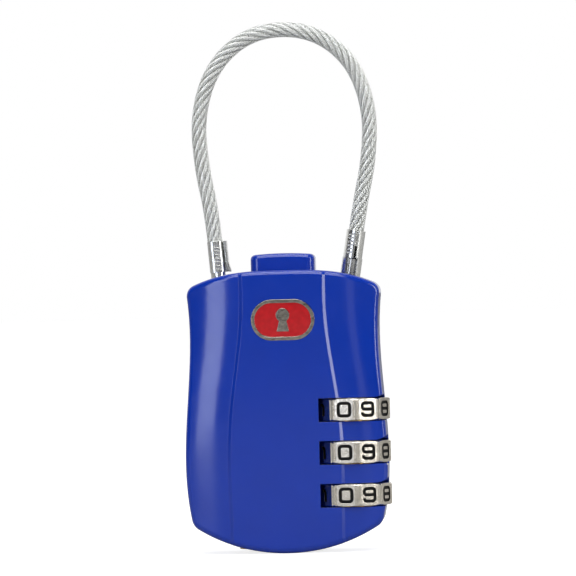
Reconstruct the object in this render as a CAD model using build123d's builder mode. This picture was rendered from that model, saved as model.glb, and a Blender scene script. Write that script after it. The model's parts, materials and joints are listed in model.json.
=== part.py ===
"""Luggage combination padlock: a waisted two-shell housing with three dials, a release button,
a key-override cylinder and a stranded cable loop. Millimetres. X is to the right, the front faces
-Y and Z is up. The origin is under the middle of the housing, level with its lowest point."""

import math
import os

from build123d import *

# Housing
HOUSING_HEIGHT = 44.75
HOUSING_THICKNESS = 13.0
BULGE_HALF_WIDTH = 16.0
BULGE_HEIGHT = 15.5
WAIST_HALF_WIDTH = 15.0
WAIST_HEIGHT = 31.5
SHOULDER_HALF_WIDTH = 15.45
SHOULDER_DROP = 2.75
FOOT_HALF_WIDTH = 15.0
FOOT_RISE = 4.5
TOP_FLAT_HALF_WIDTH = 7.0
TOP_FLAT_DROP = 0.25
FOOT_CORNER_RADIUS = 2.2
SHOULDER_CORNER_RADIUS = 1.8
WALL = 1.3
FRONT_EDGE_RADIUS = 0.9
REAR_EDGE_RADIUS = 1.4
PANEL_STEP_DEPTH = 0.3
PANEL_STEP_WIDTH = 0.5
WING_RADIUS = 18.0

# Dials and the gate sleeves inside them
DIAL_COUNT = 3
DIAL_RADIUS = 6.3
DIAL_THICKNESS = 3.4
DIAL_PITCH = 6.76
DIAL_AXIS_X = 10.2
DIAL_AXIS_Y = -0.7
TOP_DIAL_HEIGHT = 22.5
DIAL_POSITIONS = 10
DIAL_RIB_HALF_ANGLE = 2.6
DIAL_GROOVE_RADIUS = 0.13
DIAL_BEVEL = 0.2
DIAL_FRONT_ANGLE = -98.0
DIAL_BORE_RADIUS = 4.0
DIAL_SPLINE_RADIUS = 3.3
DIAL_SPLINE_HEIGHT = 1.0
DIAL_POCKET_CLEARANCE = 0.25
WINDOW_HEIGHT = 3.75
WINDOW_LEFT_X = 5.3
UPPER_LIP_RISE = 0.75
UPPER_LIP_RUN = 2.0
LOWER_LIP_RISE = 0.4
LOWER_LIP_RUN = 0.5
LIP_REAR_Y = 2.3
SPLINE_TOOTH_WIDTH = 1.2
SPLINE_CLEARANCE = 0.12

# Spindle and its teeth
SPINDLE_RADIUS = 1.2
SPINDLE_CLEARANCE = 0.06
TOOTH_RADIUS = 2.2
TOOTH_WIDTH = 1.1
TOOTH_THICKNESS = 1.0
TOOTH_CLEARANCE = 0.15
SLEEVE_RADIUS = 3.0
SLEEVE_CLEARANCE = 0.08
SLEEVE_COLLAR_RADIUS = 3.94
SLEEVE_TOP = 1.51
SLEEVE_GROOVE_RADIUS = 2.6
FORK_THICKNESS = 0.6
FORK_CLEARANCE = 0.06
FORK_HALF_SPAN = 4.0
FORK_HEIGHT = 1.05

# Travels
RESET_TRAVEL = 1.2
OVERRIDE_TRAVEL = 1.3

# Release button
BUTTON_HALF_WIDTH = 5.1
BUTTON_DEPTH = 6.6
BUTTON_TOP = HOUSING_HEIGHT + 2.7
BUTTON_BOTTOM = HOUSING_HEIGHT - 5.55
BUTTON_CORNER_RADIUS = 1.3
BUTTON_CLEARANCE = 0.12
FLANGE_OVERHANG = 0.7
FLANGE_TOP = HOUSING_HEIGHT - 1.75

# Cable and its two terminals
ROPE_RADIUS = 1.0
JACKET_INNER_RADIUS = 1.04
JACKET_RADIUS = 1.2
TERMINAL_BASE = HOUSING_HEIGHT - 1.55
CAPTIVE_X = -10.3
CAPTIVE_LEAN = 4.5
CAPTIVE_TOP = 6.4
FREE_X = 10.5
FREE_LEAN = 9.2
FREE_TOP = 7.7
STUD_RADIUS = 1.5
STUD_CLEARANCE = 0.06
TERMINAL_HOLE_RADIUS = 2.0
CLIP_HEIGHT = HOUSING_HEIGHT - 7.25
CLIP_THICKNESS = 0.6
CLIP_GROOVE_RADIUS = 1.0

# Key override
KEY_X = -5.0
PLUG_RADIUS = 3.0
PLUG_CLEARANCE = 0.05
CYLINDER_RADIUS = 4.2
CYLINDER_BOTTOM = 1.8
CYLINDER_TOP = 14.0
WAFER_COUNT = 4
WAFER_PITCH = 2.3
FIRST_WAFER_HEIGHT = 4.4
CAM_HEIGHT = 17.0

# Corners of the cable loop between the two terminals
CABLE_LOOP = [
    (-12.6, 61.0),
    (-13.2, 69.8),
    (-10.4, 77.9),
    (-4.0, 83.0),
    (4.9, 83.1),
    (11.5, 78.3),
    (14.4, 70.4),
    (14.0, 62.0),
]
ROPE_START = 4.0
CAPTIVE_CORNER = 11.0
FREE_CORNER = 12.2
ROPE_END = 5.2
CRIMP_MARKS = 7
CRIMP_PITCH = 0.58
CRIMP_DEPTH = 0.12

# Key plug, wafers and cam
WAFER_WIDTH = 3.0
WAFER_LENGTH = 5.0
WAFER_THICKNESS = 0.7
KEYWAY_WIDTH = 1.1
KEYWAY_DEPTH = 3.4
PLUG_BOTTOM = 0.6
PLUG_TOP = 13.9
TAIL_RADIUS = 1.6
TAIL_TOP = 16.4
RETAINER_BOTTOM = 14.1
RETAINER_THICKNESS = 0.5
CAM_BOTTOM = 15.0

# Badge in the upper middle of the front
BADGE_WIDTH = 10.0
BADGE_HEIGHT = 6.4
BADGE_Z = HOUSING_HEIGHT - 7.85
BADGE_RECESS = 0.5
BADGE_CLEARANCE = 0.05
BADGE_RIM = 0.5
BADGE_BASE = 0.25
BADGE_RIM_HEIGHT = 0.55

# Rivets that join the two shells
PIN_RADIUS = 0.7
PIN_BOSS_RADIUS = 1.3
PIN_FRONT_Y = -4.4
PIN_REAR_Y = 5.2
PIN_PLACES = [(-12.1, 22.0), (-12.1, 9.0), (1.15, 7.0), (13.0, 31.6)]

# Pockets cast into the shells
FRONT_FLOOR_Y = -3.9
PANEL_FLOOR_Y = -5.1
REAR_FLOOR_Y = 5.2
UPPER_FLOOR_Y = 3.6
UPPER_POCKET_Z = 27.2
SPINDLE_SEAT_BOTTOM = 25.5
SPINDLE_SEAT_TOP = 26.3
DIAL_BLOCK_X = 4.15
SHELF_Z = 20.5
SHELF_THICKNESS = 1.5
SHELF_HALF_WIDTH = 1.9
FLOOR_Z = 1.8

# Release bridge, reset comb and override bar
STEM_HALF_WIDTH = 1.8
STEM_HALF_DEPTH = 1.1
BRIDGE_BOTTOM = 28.6
BRIDGE_TOP = 30.4
EYE_RADIUS = 1.9
COMB_BAR_X = (2.7, 3.7)
COMB_BAR_Y = (1.0, 3.0)
COMB_ARM_Z = (HOUSING_HEIGHT - 12.85, HOUSING_HEIGHT - 12.05)
FORK_ROOT_X = 6.0
FORK_TIP_X = 12.4
FORK_ROOT_Y = (-1.5, 3.0)
BLOCK_Z = (HOUSING_HEIGHT - 11.75, HOUSING_HEIGHT - 4.15)
SOCKET_X = (7.0, 13.4)
ANCHOR_X = (-13.4, -7.0)
ANCHOR_BOTTOM = HOUSING_HEIGHT - 8.75
BLOCK_GAP = 0.06
OVERRIDE_X = KEY_X + 2.5
OVERRIDE_FOOT = 16.75
OVERRIDE_ARM_Z = (HOUSING_HEIGHT - 11.55, HOUSING_HEIGHT - 10.35)
OVERRIDE_ARM_Y = (1.2, 2.2)
OVERRIDE_NOSE_X = (5.95, 6.8)
BUTTON_WEDGE_X = (3.9, 4.9)
CLIP_LEG_WIDTH = 0.7
CLIP_LEFT_X = 3.2
CLIP_RIGHT_X = 12.6
DETENT_ANGLE = 206.0
DETENT_WIDTH = 1.6
DETENT_THICKNESS = 0.25
DETENT_GAP = 0.08

# Studs of the two terminals
SOCKET_FLOOR = HOUSING_HEIGHT - 10.45
SOCKET_TIP_RADIUS = 1.25
RESET_TIP_RADIUS = 1.2
RESET_TIP_TOP = SOCKET_FLOOR - 0.1
HEAD_RADIUS = 2.6
HEAD_Z = (HOUSING_HEIGHT - 6.75, HOUSING_HEIGHT - 5.75)
CAPTIVE_BOSS_RADIUS = 0.97
CAPTIVE_BOSS_HEIGHT = 1.4
FREE_BOSS_RADIUS = 1.13
FREE_BOSS_HEIGHT = 3.1
FREE_STUD_TIP = HOUSING_HEIGHT - 10.15

# Values that follow from those above
HALF = HOUSING_THICKNESS / 2
PARTING_Y = DIAL_AXIS_Y
DIAL_HEIGHTS = [TOP_DIAL_HEIGHT - DIAL_PITCH * i for i in range(DIAL_COUNT)]
SLEEVE_GAP = TOOTH_THICKNESS + 2 * TOOTH_CLEARANCE
SLEEVE_LENGTH = DIAL_PITCH - SLEEVE_GAP
SLEEVE_BOTTOM = SLEEVE_TOP - SLEEVE_LENGTH
LOWEST_SLEEVE = DIAL_HEIGHTS[-1] + SLEEVE_BOTTOM - RESET_TRAVEL - SLEEVE_CLEARANCE
FORK_TOP = SLEEVE_BOTTOM + FORK_HEIGHT


def facing_front(y):
    """The XZ plane at depth y, facing the front, so an extrusion runs towards -Y."""
    return Plane.XZ.offset(-y)


def facing_right(x):
    """The YZ plane at x, facing right, so an extrusion runs towards +X."""
    return Plane(origin=(x, 0, 0), x_dir=(0, 1, 0), z_dir=(1, 0, 0))


def level(z, x=0.0, y=0.0):
    """A horizontal plane at height z with its origin at x, y."""
    return Plane(origin=(x, y, z))


def span_box(x0, x1, y0, y1, z0, z1, mode=Mode.ADD):
    """A box between two opposite corners."""
    with Locations(((x0 + x1) / 2, (y0 + y1) / 2, (z0 + z1) / 2)):
        return Box(x1 - x0, y1 - y0, z1 - z0, mode=mode)


def rod(radius, z0, z1, x=0.0, y=0.0, mode=Mode.ADD):
    """An upright cylinder from z0 to z1."""
    with Locations((x, y, (z0 + z1) / 2)):
        return Cylinder(radius, z1 - z0, mode=mode)


def side_half_width(z):
    """Half width of the housing at height z, smooth between bulge, waist and shoulder."""
    share = (z - BULGE_HEIGHT) / (WAIST_HEIGHT - BULGE_HEIGHT)
    blend = 0.5 - 0.5 * math.cos(math.pi * min(max(share, 0.0), 1.0))
    return BULGE_HALF_WIDTH + (WAIST_HALF_WIDTH - BULGE_HALF_WIDTH) * blend


def housing_outline(inset, plane):
    """Front outline of the housing, drawn in by the inset on every side."""
    foot_x = FOOT_HALF_WIDTH - inset
    foot_z = FOOT_RISE + inset * 0.6
    shoulder_x = SHOULDER_HALF_WIDTH - inset
    shoulder_z = HOUSING_HEIGHT - SHOULDER_DROP - inset * 0.9
    bulge_x = BULGE_HALF_WIDTH - inset
    waist_x = WAIST_HALF_WIDTH - inset
    crown_z = HOUSING_HEIGHT - inset
    flat_z = crown_z - TOP_FLAT_DROP
    with BuildSketch(plane) as outline:
        with BuildLine():
            ThreePointArc((-foot_x, foot_z), (0, inset), (foot_x, foot_z))
            Spline(
                (foot_x, foot_z),
                (bulge_x, BULGE_HEIGHT),
                (waist_x, WAIST_HEIGHT),
                (shoulder_x, shoulder_z),
            )
            Spline(
                (shoulder_x, shoulder_z),
                (TOP_FLAT_HALF_WIDTH, flat_z),
                (0, crown_z),
                (-TOP_FLAT_HALF_WIDTH, flat_z),
                (-shoulder_x, shoulder_z),
            )
            Spline(
                (-shoulder_x, shoulder_z),
                (-waist_x, WAIST_HEIGHT),
                (-bulge_x, BULGE_HEIGHT),
                (-foot_x, foot_z),
            )
        make_face()
    return outline.sketch


def rounded_block(inset, y0, y1):
    """The housing outline as a block from depth y0 back to y1, with its upright corners rounded."""
    with BuildPart() as block:
        extrude(housing_outline(inset, facing_front(y1)), amount=y1 - y0)
        corners = block.edges().filter_by(Axis.Y)
        fillet(corners.group_by(Axis.Z)[-1], SHOULDER_CORNER_RADIUS)
        corners = block.edges().filter_by(Axis.Y)
        fillet(corners.group_by(Axis.Z)[0], FOOT_CORNER_RADIUS)
    return block.part


def panel_half_width(z):
    """Half width of the raised centre panel, widest at the bulge and narrow at the top."""
    share = min(max((z - BULGE_HEIGHT) / (HOUSING_HEIGHT - BULGE_HEIGHT), -1.0), 1.0)
    if share < 0:
        return 8.7 - 0.9 * share * share
    return 8.7 - 2.4 * (0.5 - 0.5 * math.cos(math.pi * min(share * 1.15, 1.0)))


def front_surface_block():
    """Everything behind the front face: a raised centre panel between two falling wings."""
    panel_y = -HALF
    wing_y = panel_y + PANEL_STEP_DEPTH
    overhang = 1.5
    with BuildPart() as block:
        for z in (-3.0, 5.0, BULGE_HEIGHT, 23.0, WAIST_HEIGHT, 39.0, HOUSING_HEIGHT + 3.0):
            crease = panel_half_width(z)
            foot = crease + PANEL_STEP_WIDTH
            edge = side_half_width(z) + overhang
            middle = (foot + edge) / 2
            edge_y = wing_y + (edge - foot) ** 2 / (2 * WING_RADIUS)
            middle_y = wing_y + (middle - foot) ** 2 / (2 * WING_RADIUS)
            with BuildSketch(level(z)):
                with BuildLine():
                    Polyline((-edge, edge_y), (-edge, HALF), (edge, HALF), (edge, edge_y))
                    ThreePointArc((edge, edge_y), (middle, middle_y), (foot, wing_y))
                    Polyline((foot, wing_y), (crease, panel_y), (-crease, panel_y), (-foot, wing_y))
                    ThreePointArc((-foot, wing_y), (-middle, middle_y), (-edge, edge_y))
                make_face()
        loft()
    return block.part


def slot_sketch(plane, width, height):
    """A stadium as wide and high as given."""
    with BuildSketch(plane) as stadium:
        SlotOverall(width, height)
    return stadium.sketch


def lower_pocket():
    """Hollow to the left of the dials, round the key cylinder, with bosses and a spring shelf left in."""
    with BuildPart() as pocket:
        add(rounded_block(WALL, FRONT_FLOOR_Y, REAR_FLOOR_Y))
        span_box(DIAL_BLOCK_X, 20, -10, 10, -5, UPPER_POCKET_Z, mode=Mode.SUBTRACT)
        span_box(-20, 20, -10, 10, UPPER_POCKET_Z, 60, mode=Mode.SUBTRACT)
        span_box(-7, DIAL_BLOCK_X, PANEL_FLOOR_Y, FRONT_FLOOR_Y, 16, UPPER_POCKET_Z)
        span_box(-20, 20, -10, 10, -5, FLOOR_Z, mode=Mode.SUBTRACT)
        span_box(
            -SHELF_HALF_WIDTH, SHELF_HALF_WIDTH, -10, 10, SHELF_Z, SHELF_Z + SHELF_THICKNESS,
            mode=Mode.SUBTRACT,
        )
        for x, z in PIN_PLACES[:3]:
            with Locations(Location((x, 0, z), (90, 0, 0))):
                Cylinder(PIN_BOSS_RADIUS, 30, mode=Mode.SUBTRACT)
    return pocket.part


def upper_pocket():
    """Hollow under the top wall for the button, both terminal blocks and the release bridge."""
    with BuildPart() as pocket:
        add(rounded_block(WALL, -UPPER_FLOOR_Y, UPPER_FLOOR_Y))
        span_box(-20, 20, -10, 10, -5, UPPER_POCKET_Z, mode=Mode.SUBTRACT)
        x, z = PIN_PLACES[3]
        with Locations(Location((x, 0, z), (90, 0, 0))):
            Cylinder(PIN_BOSS_RADIUS - 0.2, 30, mode=Mode.SUBTRACT)
    return pocket.part


def window_lips(z):
    """Rounded lips of a window where it runs out through the housing's side."""
    outer = BULGE_HALF_WIDTH
    lips = (
        (z + WINDOW_HEIGHT / 2, UPPER_LIP_RUN, UPPER_LIP_RISE),
        (z - WINDOW_HEIGHT / 2, LOWER_LIP_RUN, -LOWER_LIP_RISE),
    )
    with BuildPart() as relief:
        for edge, run, rise in lips:
            with BuildSketch(facing_front(LIP_REAR_Y)):
                with BuildLine():
                    start = (outer - run, edge)
                    end = (outer, edge + rise)
                    TangentArc(start, end, tangent=(1, 0))
                    Polyline(end, (outer + 2, edge + rise), (outer + 2, edge), start)
                make_face()
            extrude(amount=LIP_REAR_Y + HOUSING_THICKNESS)
    return relief.part


def mechanism_space():
    """All the room that the works need inside the two shells."""
    pocket_radius = DIAL_RADIUS + DIAL_POCKET_CLEARANCE
    sleeve_bore = SLEEVE_RADIUS + SLEEVE_CLEARANCE
    with BuildPart() as space:
        add(lower_pocket())
        add(upper_pocket())
        for z in DIAL_HEIGHTS:
            low = z - WINDOW_HEIGHT / 2
            high = z + WINDOW_HEIGHT / 2
            rod(pocket_radius, low, high, DIAL_AXIS_X, DIAL_AXIS_Y)
            add(window_lips(z))
            fork_low = high - DIAL_PITCH - 0.05
            fork_high = z + FORK_TOP + 0.15
            span_box(
                COMB_BAR_X[0], FORK_ROOT_X + 1, FORK_ROOT_Y[0] - 0.2, FORK_ROOT_Y[1] + 0.2,
                fork_low, fork_high,
            )
            span_box(
                FORK_ROOT_X - 0.2, FORK_TIP_X + 0.2, DIAL_AXIS_Y - FORK_HALF_SPAN - 0.2,
                DIAL_AXIS_Y + FORK_HALF_SPAN + 0.2, fork_low, fork_high,
            )
        rod(sleeve_bore, LOWEST_SLEEVE, SPINDLE_SEAT_BOTTOM, DIAL_AXIS_X, DIAL_AXIS_Y)
        rod(SPINDLE_RADIUS + 0.1, SPINDLE_SEAT_BOTTOM, UPPER_POCKET_Z, DIAL_AXIS_X, DIAL_AXIS_Y)
        rod(2.6, SPINDLE_SEAT_TOP, UPPER_POCKET_Z, DIAL_AXIS_X, DIAL_AXIS_Y)
        rod(PLUG_RADIUS + 0.1, -2, CYLINDER_BOTTOM, KEY_X, 0)
        rod(CYLINDER_RADIUS + PLUG_CLEARANCE, CYLINDER_BOTTOM, CYLINDER_TOP, KEY_X, 0)
        rod(TERMINAL_HOLE_RADIUS, BLOCK_Z[1], HOUSING_HEIGHT + 5, FREE_X, 0)
        rod(TERMINAL_HOLE_RADIUS, BLOCK_Z[1], HOUSING_HEIGHT + 5, CAPTIVE_X, 0)
        with BuildSketch(level(BLOCK_Z[1])):
            button_plan(BUTTON_CLEARANCE)
        extrude(amount=HOUSING_HEIGHT)
        with Locations(Location((DIAL_AXIS_X, DIAL_AXIS_Y, 0), (0, 0, DETENT_ANGLE))):
            with Locations((DIAL_RADIUS + 0.55, 0, (5.2 + UPPER_POCKET_Z) / 2)):
                Box(0.8, DETENT_WIDTH + 0.2, UPPER_POCKET_Z - 5.2)
    return space.part


def button_plan(gap=0.0):
    """Rounded rectangle of the button seen from above."""
    return RectangleRounded(
        2 * (BUTTON_HALF_WIDTH + gap), BUTTON_DEPTH + 2 * gap, BUTTON_CORNER_RADIUS + gap
    )


def make_front_cover(space):
    """Front shell with the creased face, the dial windows and the badge recess."""
    with BuildPart() as front_cover:
        add(front_surface_block())
        add(rounded_block(0, -HALF - 3, PARTING_Y), mode=Mode.INTERSECT)
        sides = [f for f in front_cover.faces() if abs(f.normal_at(f.center()).Y) < 0.02]
        rim = [e for f in sides for e in f.edges().filter_by(Axis.Y, reverse=True)]
        fillet([e for e in rim if e.center().Y < PARTING_Y - 2], FRONT_EDGE_RADIUS)
        add(space, mode=Mode.SUBTRACT)
        for z in DIAL_HEIGHTS:
            span_box(
                WINDOW_LEFT_X, 20, -10, DIAL_AXIS_Y - 2.4, z - WINDOW_HEIGHT / 2,
                z + WINDOW_HEIGHT / 2, mode=Mode.SUBTRACT,
            )
        recess_plane = Plane(
            origin=(0, -HALF + BADGE_RECESS, BADGE_Z), x_dir=(1, 0, 0), z_dir=(0, -1, 0)
        )
        recess = slot_sketch(
            recess_plane, BADGE_WIDTH + 2 * BADGE_CLEARANCE, BADGE_HEIGHT + 2 * BADGE_CLEARANCE
        )
        extrude(recess, amount=2, mode=Mode.SUBTRACT)
        add(make_cover_pins(), mode=Mode.SUBTRACT)
    return front_cover.part


def make_rear_cover(space):
    """Rear shell: flat back with rounded edges."""
    with BuildPart() as rear_cover:
        add(rounded_block(0, PARTING_Y, HALF))
        fillet(rear_cover.faces().sort_by(Axis.Y)[-1].edges(), REAR_EDGE_RADIUS)
        add(space, mode=Mode.SUBTRACT)
        add(make_cover_pins(), mode=Mode.SUBTRACT)
    return rear_cover.part


def coil_spring(x, y, z0, z1, mean_radius, wire_radius, turns):
    """An open coil spring standing between heights z0 and z1."""
    height = z1 - z0 - 2 * wire_radius - 0.06
    with BuildPart() as spring:
        with BuildLine() as path:
            Helix(height / turns, height, mean_radius, center=(x, y, z0 + wire_radius + 0.03))
        with BuildSketch(Plane(origin=path.line @ 0, z_dir=path.line % 0)):
            Circle(wire_radius)
        sweep(path=path.line, is_frenet=True)
    return spring.part


def make_dial(z):
    """A ring with ten flat digit faces, a grooved rib between each pair and an internal spline."""
    face_pitch = 360 / DIAL_POSITIONS
    apothem = DIAL_RADIUS * math.cos(math.radians(face_pitch / 2 - DIAL_RIB_HALF_ANGLE))
    rib_angle = DIAL_FRONT_ANGLE + face_pitch / 2
    bottom = z - DIAL_THICKNESS / 2
    top = z + DIAL_THICKNESS / 2
    with BuildPart() as dial:
        with BuildSketch(level(bottom, DIAL_AXIS_X, DIAL_AXIS_Y)):
            Circle(DIAL_RADIUS)
            RegularPolygon(
                apothem, DIAL_POSITIONS, major_radius=False, rotation=rib_angle,
                mode=Mode.INTERSECT,
            )
            for side in (-1, 1):
                angle = rib_angle + side * (DIAL_RIB_HALF_ANGLE + 0.3)
                with PolarLocations(DIAL_RADIUS, DIAL_POSITIONS, start_angle=angle):
                    Circle(DIAL_GROOVE_RADIUS, mode=Mode.SUBTRACT)
            Circle(DIAL_BORE_RADIUS, mode=Mode.SUBTRACT)
        extrude(amount=DIAL_THICKNESS)
        spline_top = top - 0.1
        with BuildSketch(level(spline_top - DIAL_SPLINE_HEIGHT, DIAL_AXIS_X, DIAL_AXIS_Y)):
            with PolarLocations(0, DIAL_POSITIONS, start_angle=DIAL_FRONT_ANGLE):
                with Locations(((DIAL_SPLINE_RADIUS + DIAL_BORE_RADIUS + 0.3) / 2, 0)):
                    Rectangle(DIAL_BORE_RADIUS + 0.3 - DIAL_SPLINE_RADIUS, SPLINE_TOOTH_WIDTH)
        extrude(amount=DIAL_SPLINE_HEIGHT)
        centre = (DIAL_AXIS_X, DIAL_AXIS_Y, z)
        with BuildSketch(Plane(origin=centre, x_dir=(1, 0, 0), z_dir=(0, -1, 0))):
            with BuildLine():
                edge = DIAL_RADIUS + 0.1
                half = DIAL_THICKNESS / 2
                Polyline(
                    (0, -half), (edge - DIAL_BEVEL - 0.1, -half), (edge, -half + DIAL_BEVEL + 0.1),
                    (edge, half - DIAL_BEVEL - 0.1), (edge - DIAL_BEVEL - 0.1, half), (0, half),
                    close=True,
                )
            make_face()
        revolve(axis=Axis(centre, (0, 0, 1)), mode=Mode.INTERSECT)
    return dial.part


def make_gate_sleeve(z):
    """A sleeve that turns with its dial, with one gate for the spindle tooth and a fork groove."""
    low = z + SLEEVE_BOTTOM
    high = z + SLEEVE_TOP
    fork_top = z + FORK_TOP
    ring_low = high - DIAL_SPLINE_HEIGHT + 0.04
    place = (DIAL_AXIS_X, DIAL_AXIS_Y)
    with BuildPart() as sleeve:
        rod(SLEEVE_RADIUS, low, high, *place)
        rod(SLEEVE_COLLAR_RADIUS, z - 0.35, z + 0.45, *place)
        with BuildSketch(level(ring_low, *place)):
            Circle(SLEEVE_COLLAR_RADIUS - 0.04)
            with PolarLocations(0, DIAL_POSITIONS, start_angle=DIAL_FRONT_ANGLE):
                with Locations((DIAL_SPLINE_RADIUS - 0.1 + 1, 0)):
                    Rectangle(2, SPLINE_TOOTH_WIDTH + 2 * SPLINE_CLEARANCE, mode=Mode.SUBTRACT)
        extrude(amount=high - ring_low)
        with BuildSketch(level(fork_top - FORK_THICKNESS - FORK_CLEARANCE, *place)):
            Circle(SLEEVE_RADIUS + 1)
            Circle(SLEEVE_GROOVE_RADIUS, mode=Mode.SUBTRACT)
        extrude(amount=FORK_THICKNESS + 2 * FORK_CLEARANCE, mode=Mode.SUBTRACT)
        rod(SPINDLE_RADIUS + SPINDLE_CLEARANCE, low, high, *place, mode=Mode.SUBTRACT)
        half_gate = TOOTH_WIDTH / 2 + 0.1
        span_box(
            DIAL_AXIS_X, DIAL_AXIS_X + TOOTH_RADIUS + 0.12, DIAL_AXIS_Y - half_gate,
            DIAL_AXIS_Y + half_gate, low, high, mode=Mode.SUBTRACT,
        )
    return sleeve.part


def make_spindle():
    """The release spindle with one tooth above each gate sleeve."""
    with BuildPart() as spindle:
        low = DIAL_HEIGHTS[-1] + SLEEVE_BOTTOM + 0.2
        rod(SPINDLE_RADIUS, low, BRIDGE_TOP, DIAL_AXIS_X, DIAL_AXIS_Y)
        for z in DIAL_HEIGHTS:
            low = z + SLEEVE_TOP + TOOTH_CLEARANCE
            with BuildSketch(level(low, DIAL_AXIS_X, DIAL_AXIS_Y)):
                Circle(TOOTH_RADIUS)
                with Locations((TOOTH_RADIUS, 0)):
                    Rectangle(2 * TOOTH_RADIUS, TOOTH_WIDTH, mode=Mode.INTERSECT)
            extrude(amount=TOOTH_THICKNESS)
    return spindle.part


def make_release_bridge():
    """The plate that carries the spindle and stands under the button."""
    y0 = DIAL_AXIS_Y - STEM_HALF_DEPTH
    y1 = DIAL_AXIS_Y + STEM_HALF_DEPTH
    with BuildPart() as bridge:
        span_box(-STEM_HALF_WIDTH, STEM_HALF_WIDTH, y0, y1, BRIDGE_BOTTOM, BUTTON_BOTTOM)
        span_box(-STEM_HALF_WIDTH, DIAL_AXIS_X, y0, y1, BRIDGE_BOTTOM, BRIDGE_TOP)
        rod(0.8, BRIDGE_BOTTOM - 1.2, BRIDGE_BOTTOM + 0.5, 0, DIAL_AXIS_Y)
        rod(EYE_RADIUS, BRIDGE_BOTTOM, BRIDGE_TOP, DIAL_AXIS_X, DIAL_AXIS_Y)
        with Locations((DIAL_AXIS_X, DIAL_AXIS_Y, BRIDGE_BOTTOM)):
            Hole(SPINDLE_RADIUS + 0.01, 40)
    return bridge.part


def make_release_button():
    """The push button: domed top, stop flange under the top wall and a wedge for the clip."""
    with BuildPart() as button:
        with BuildSketch(level(BUTTON_BOTTOM)):
            button_plan()
        extrude(amount=BUTTON_TOP - BUTTON_BOTTOM + 1)
        edge_drop = 0.35
        with BuildSketch(facing_front(BUTTON_DEPTH)):
            with BuildLine():
                left = (-BUTTON_HALF_WIDTH - 1, BUTTON_TOP - edge_drop)
                right = (BUTTON_HALF_WIDTH + 1, BUTTON_TOP - edge_drop)
                ThreePointArc(left, (0, BUTTON_TOP), right)
                Polyline(right, (right[0], BUTTON_BOTTOM), (left[0], BUTTON_BOTTOM), left)
            make_face()
        extrude(amount=2 * BUTTON_DEPTH, mode=Mode.INTERSECT)
        fillet(button.faces().sort_by(Axis.Z)[-1].edges(), 0.8)
        flange_x = BUTTON_HALF_WIDTH + FLANGE_OVERHANG
        span_box(-flange_x, flange_x, -BUTTON_DEPTH / 2, BUTTON_DEPTH / 2, BUTTON_BOTTOM, FLANGE_TOP)
        wedge_low = CLIP_HEIGHT + CLIP_THICKNESS / 2 + 0.1
        with BuildSketch(facing_right(BUTTON_WEDGE_X[0])):
            with BuildLine():
                Polyline(
                    (-1.3, BUTTON_BOTTOM + 0.2), (-0.7, wedge_low), (0.7, wedge_low),
                    (1.3, BUTTON_BOTTOM + 0.2), close=True,
                )
            make_face()
        extrude(amount=BUTTON_WEDGE_X[1] - BUTTON_WEDGE_X[0])
    return button.part


def make_latch_clip():
    """The sprung U clip whose two legs sit in the groove of the free stud."""
    inner = CLIP_GROOVE_RADIUS + 0.05
    outer = inner + CLIP_LEG_WIDTH
    bend_x = CLIP_LEFT_X + outer
    length = CLIP_RIGHT_X - bend_x
    with BuildPart() as clip:
        with BuildSketch(level(CLIP_HEIGHT - CLIP_THICKNESS / 2, bend_x, 0)):
            Circle(outer)
            with Locations((length / 2, 0)):
                Rectangle(length, 2 * outer)
            Circle(inner, mode=Mode.SUBTRACT)
            with Locations((length / 2 + 1, 0)):
                Rectangle(length + 2, 2 * inner, mode=Mode.SUBTRACT)
        extrude(amount=CLIP_THICKNESS)
    return clip.part


def make_socket_block():
    """The block that guides the free stud, the latch clip and the reset plunger."""
    depth = UPPER_FLOOR_Y - BLOCK_GAP
    with BuildPart() as block:
        span_box(*SOCKET_X, -depth, depth, *BLOCK_Z)
        rod(STUD_RADIUS + STUD_CLEARANCE, SOCKET_FLOOR, BLOCK_Z[1], FREE_X, 0, mode=Mode.SUBTRACT)
        rod(SOCKET_TIP_RADIUS, BLOCK_Z[0], SOCKET_FLOOR, FREE_X, 0, mode=Mode.SUBTRACT)
        span_box(
            SOCKET_X[0], CLIP_RIGHT_X + 0.15, -2.6, 2.6, CLIP_HEIGHT - 0.4, CLIP_HEIGHT + 0.4,
            mode=Mode.SUBTRACT,
        )
    return block.part


def make_anchor_block():
    """The block that holds the head of the captive stud, open to the front for assembly."""
    depth = UPPER_FLOOR_Y - BLOCK_GAP
    pocket = HEAD_RADIUS + STUD_CLEARANCE
    bore = STUD_RADIUS + STUD_CLEARANCE
    low = HEAD_Z[0] - STUD_CLEARANCE
    high = HEAD_Z[1] + STUD_CLEARANCE
    with BuildPart() as block:
        span_box(*ANCHOR_X, -depth, depth, ANCHOR_BOTTOM, BLOCK_Z[1])
        rod(pocket, low, high, CAPTIVE_X, 0, mode=Mode.SUBTRACT)
        span_box(CAPTIVE_X - pocket, CAPTIVE_X + pocket, -5, 0, low, high, mode=Mode.SUBTRACT)
        rod(bore, high, BLOCK_Z[1], CAPTIVE_X, 0, mode=Mode.SUBTRACT)
        span_box(CAPTIVE_X - bore, CAPTIVE_X + bore, -5, 0, high, BLOCK_Z[1], mode=Mode.SUBTRACT)
    return block.part


def terminal_plane(x, lean, height=0.0):
    """A plane across a terminal's own axis, at a height along it from the terminal's base."""
    angle = math.radians(lean)
    along = Vector(math.sin(angle), 0, math.cos(angle))
    origin = Vector(x, 0, TERMINAL_BASE) + along * height
    return Plane(origin=origin, x_dir=(math.cos(angle), 0, -math.sin(angle)), z_dir=along)


def captive_plane(height):
    return terminal_plane(CAPTIVE_X, -CAPTIVE_LEAN, height)


def free_plane(height):
    return terminal_plane(FREE_X, FREE_LEAN, height)


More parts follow.
